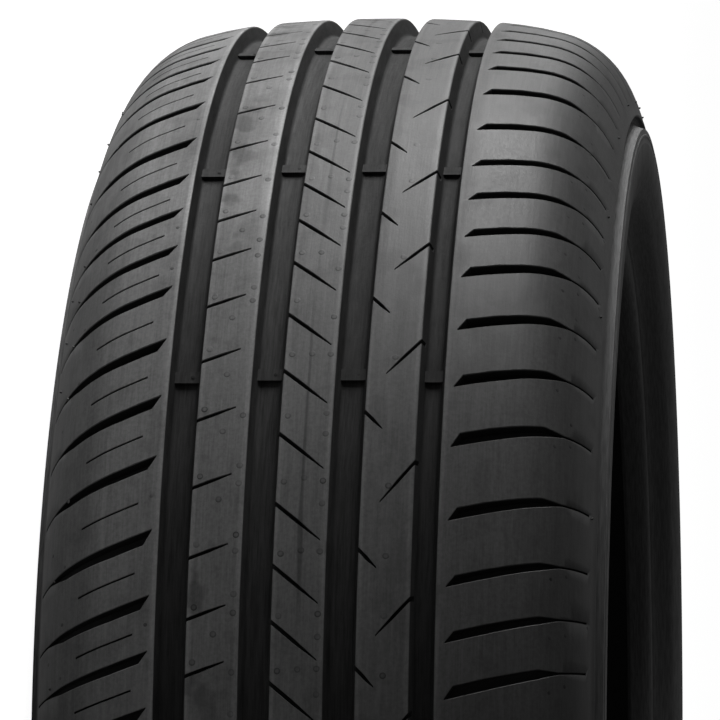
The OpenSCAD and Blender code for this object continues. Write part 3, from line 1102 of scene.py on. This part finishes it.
@dataclass
class VentMarks:
    """The marks that the mould's vents leave on the ribs, the shoulders and the wear bars.

    Each place is the distance across, the distance along from the pitch's middle, and the
    share of the pitches that have the mark. The marks stray along and differ in strength. Their
    darkness is painted shade: a dark rim on the round marks, a dark painted hole on the pins and
    a painted shadow on the stubs.
    """

    sizes: TyreSizes
    curve: TreadCurve
    shop: CutShop
    bars: WearBars
    # Their tones are painted shade: dark rims, dark painted holes and the stubs' painted shadow.
    ring: VentMark = VentMark(
        (0.5, 0.8, 1.1, 1.35), (0.03, 0.03, 0.02, -0.04), (0.3, 0.6, 0.9, 0.6))
    pin: VentMark = VentMark((0.4, 0.8), (0.02, -0.04), (1.0, 0.9))
    stub: VentMark = VentMark((0.3, 0.5), (0.7, -0.1), (0.8, 0.8))
    pin_corners: int = 8
    stray: float = 0.7
    strengths: Point = (0.4, 1.0)
    bar_offset: float = 2.1
    bar_lift: float = 0.05
    smooth_below: float = 40
    ring_places: tuple[Triple, ...] = (
        (-9.0, 0.5, 0.9), (-1.4, -0.8, 0.7), (5.7, 0.2, 0.9), (5.8, 8.4, 0.7),
        (-41.0, -2.7, 0.9), (-33.4, 7.8, 0.7), (-26.1, -7.1, 0.6), (-26.1, 0.2, 0.8),
        (30.3, 1.2, 0.6))
    pin_places: tuple[Triple, ...] = (
        (96.2, 4.0, 0.8), (96.2, -6.0, 0.5), (90.8, 7.0, 0.8), (103.4, -2.0, 0.7),
        (-93.0, 2.0, 0.7), (-99.0, -5.0, 0.6), (-59.3, 4.3, 0.4))
    stub_places: tuple[Triple, ...] = (
        (-102.0, -3.0, 0.6), (-97.5, 6.0, 0.4), (104.0, 1.0, 0.35))

    def spot(self, turn: Matrix, across: float, drop: float = 0.0) -> Matrix:
        """Return the matrix that sets a mark on the tread, or below it by a drop."""
        lift = Matrix.Translation((self.curve.radius(across) - drop, 0, across))
        return turn @ lift @ Matrix.Rotation(-self.curve.lean(across), 4, "Y")

    def build(self, finish: RubberFinish) -> Piece:
        """Set the marks round the tyre, in one piece of the rubber that they are part of."""
        ring, pin, stub = (self.ring.model(), self.pin.model(self.pin_corners),
                           self.stub.model(self.pin_corners))
        draw, marks = random.Random(7), []
        for pitch in self.shop.row.pitches():
            middle = pitch.start - self.shop.row.turn(pitch.length) / 2
            for model, places in ((ring, self.ring_places), (pin, self.pin_places),
                                  (stub, self.stub_places)):
                for across, along, share in places:
                    turn = self.shop.at(middle, along + draw.uniform(-self.stray, self.stray))
                    strength = draw.uniform(*self.strengths)
                    if draw.random() < share:
                        marks.append(Workshop.copy_at(model, self.spot(turn, across)))
                        # Scale the mark's painted shade by its strength.
                        for value in marks[-1].data.attributes[MARK_SHADE].data:
                            value.value *= strength
        # Pins on the wear bars: a dark painted hole on each bar.
        drop = self.sizes.groove_depth - self.bars.height - self.bar_lift
        marks += [
            Workshop.copy_at(pin, self.spot(turn, groove.middle + self.bar_offset, drop))
            for turn in self.bars.turns() for groove in self.sizes.grooves]
        Workshop.scrap([ring, pin, stub])
        piece = Workshop.join("vent_marks", marks)
        Workshop.finish(piece, self.smooth_below, finish.build("mark_shaded_rubber", marked=True))
        log.info("vent marks: %d", len(marks))
        return piece


class Tyre:
    """The dressed tyre."""

    SMOOTH_BELOW = 32

    def __init__(self, frame_box: tuple[Sequence[float], Sequence[float]]) -> None:
        """Take the tyre's crown and half width from the CAD node's corners, in metres."""
        high = frame_box[1]
        self.sizes = TyreSizes(crown=high[0] / MM, half_width=high[2] / MM)
        self.curve = TreadCurve(self.sizes)
        self.row = PitchRow(self.sizes.crown)
        self.shop = CutShop(self.sizes, self.curve, self.row)
        self.bars = WearBars(self.sizes, self.curve, self.shop)
        self.finish = RubberFinish(self.sizes, self.curve)

    def build_rubber(self) -> None:
        """Build the moulded rubber with all its cuts."""
        rubber = Casing(self.sizes, self.curve).build()
        Workshop.combine(rubber, self.bars.build(), "UNION")
        Workshop.combine(rubber, self.shop.build(), "DIFFERENCE")
        Workshop.finish(rubber, self.SMOOTH_BELOW, self.finish.build())
        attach(rubber, BODY)
        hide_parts(NODE)
        triangles = sum(len(face.vertices) - 2 for face in rubber.data.polygons)
        log.info("tyre_rubber: %d triangles", triangles)

    def build_marks(self) -> None:
        """Build the vent marks and let them ride with the tyre."""
        marks = VentMarks(self.sizes, self.curve, self.shop, self.bars).build(self.finish)
        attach(marks, BODY)


@dataclass(frozen=True)
class PhotoCamera:
    """The camera of the photograph, which sees the tyre standing upright.

    Its angles belong to the upright tyre, with its axle along X, so its axes are turned to
    the lying tyre at the end.
    """

    distance: float = 2.3578
    azimuth: float = math.radians(5.863)
    elevation: float = math.radians(4.254)
    aim_azimuth: float = math.radians(6.484)
    aim_elevation: float = math.radians(0.062)
    roll: float = math.radians(-0.093)
    tread_offset: float = 0.01235
    lens: float = 276.2
    sensor: float = 36.0
    clip: Point = (0.1, 60.0)

    @staticmethod
    def direction(azimuth: float, elevation: float) -> Vector:
        """Return the direction towards an azimuth and an elevation of the upright tyre."""
        return Vector((math.sin(azimuth) * math.cos(elevation),
                       -math.cos(azimuth) * math.cos(elevation), math.sin(elevation)))

    @staticmethod
    def lying(upright: Vector) -> Vector:
        """Turn a direction of the upright tyre to the lying one."""
        return Vector((-upright.z, upright.y, upright.x))

    def build(self) -> None:
        """Add the camera and make it the scene's own."""
        ahead = -self.direction(self.aim_azimuth, self.aim_elevation)
        level = ahead.cross(Vector((0, 0, 1))).normalized()
        above = level.cross(ahead)
        right = level * math.cos(self.roll) + above * math.sin(self.roll)
        up = above * math.cos(self.roll) - level * math.sin(self.roll)
        axes = [self.lying(axis) for axis in (right, up, -ahead)]
        place = self.lying(self.direction(self.azimuth, self.elevation) * self.distance)
        place.z += self.tread_offset
        data = bpy.data.cameras.new("photo_camera")
        data.lens, data.sensor_width = self.lens, self.sensor
        data.clip_start, data.clip_end = self.clip
        camera = bpy.data.objects.new("photo_camera", data)
        bpy.context.collection.objects.link(camera)
        camera.matrix_world = Matrix.Translation(place) @ Matrix(axes).transposed().to_4x4()
        bpy.context.scene.camera = camera


@dataclass(frozen=True)
class Softbox:
    """A soft studio lamp, aimed at the tyre: where it hangs, its size and its power."""

    name: str
    place: Triple
    size: Point
    power: float

    def build(self) -> None:
        """Hang the lamp."""
        data = bpy.data.lights.new(self.name, "AREA")
        data.shape = "RECTANGLE"
        data.size, data.size_y = self.size
        data.energy = self.power
        lamp = bpy.data.objects.new(self.name, data)
        bpy.context.collection.objects.link(lamp)
        turn = (-Vector(self.place)).to_track_quat("-Z", "Y").to_matrix().to_4x4()
        lamp.matrix_world = Matrix.Translation(self.place) @ turn


@dataclass
class Studio:
    """The pale floor, the soft lamps and the white surroundings."""

    floor_z: float
    floor_half: float = 20.0
    floor_grey: float = 0.8
    floor_glow: float = 0.95
    fill: float = 0.04
    floor_mirrored: float = 0.2
    sky_mirrored: float = 0.15
    lamps: tuple[Softbox, ...] = (
        Softbox("key_softbox", (-3.0, 0.3, 0.35), (2.0, 0.8), 102.0),
        Softbox("back_softbox", (-2.4, 1.8, 0.35), (3.0, 0.8), 15.0),
        Softbox("side_softbox", (-1.2, 2.2, 2.2), (2.0, 2.0), 4.0),
        Softbox("top_softbox", (0.2, -1.4, 2.4), (2.0, 2.0), 4.0),
    )

    def floor_material(self) -> Material:
        """Write the floor's material: pale, and white to the camera but for the shadow."""
        sheet = ShaderSheet("pale_floor")
        matt = sheet.node("ShaderNodeBsdfDiffuse", inputs={"Color": (self.floor_grey,) * 3 + (1,)})
        glow = sheet.node("ShaderNodeEmission", inputs={"Strength": self.floor_glow})
        lit = sheet.node("ShaderNodeAddShader", inputs={0: sheet.out(matt), 1: sheet.out(glow)})
        seen = self.seen(sheet, self.floor_mirrored)
        mixed = sheet.node("ShaderNodeMixShader", inputs={
            0: seen, 1: sheet.out(matt), 2: sheet.out(lit)})
        sheet.node("ShaderNodeOutputMaterial", inputs={"Surface": sheet.out(mixed)})
        return sheet.material

    @staticmethod
    def seen(sheet: ShaderSheet, mirrored: float) -> Wire:
        """Return 1 for rays of the camera, and a share of it for reflections."""
        path = sheet.node("ShaderNodeLightPath")
        return (sheet.out(path, "Is Camera Ray")
                + sheet.out(path, "Is Glossy Ray") * mirrored)

    def build(self) -> None:
        """Lay the floor, hang the lamps and set the surroundings."""
        Workshop.deselect()
        bpy.ops.mesh.primitive_plane_add(size=2 * self.floor_half, location=(0, 0, self.floor_z))
        floor = bpy.context.object
        floor.name = "studio_floor"
        floor.data.materials.append(self.floor_material())
        floor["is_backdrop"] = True
        for lamp in self.lamps:
            lamp.build()
        world = bpy.data.worlds.new("studio")
        bpy.context.scene.world = world
        world.use_nodes = True
        sheet = ShaderSheet.of_world(world)
        level = self.fill + (1 - self.fill) * self.seen(sheet, self.sky_mirrored)
        sky = sheet.node("ShaderNodeBackground", inputs={"Strength": level})
        sheet.node("ShaderNodeOutputWorld", inputs={"Surface": sheet.out(sky)})
        log.info("studio: floor at %.4f m, %d lamps", self.floor_z, len(self.lamps))


def main() -> None:
    """Build the tyre and the studio."""
    logging.basicConfig(level=logging.INFO, format="%(name)s: %(message)s")
    cad_box = corners()
    bpy.context.scene.view_settings.view_transform = "Standard"
    PhotoCamera().build()
    tyre = Tyre(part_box(NODE))
    tyre.build_rubber()
    tyre.build_marks()
    Studio(floor_z=cad_box[0][2]).build()
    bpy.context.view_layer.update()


if __name__ == "__main__":
    main()
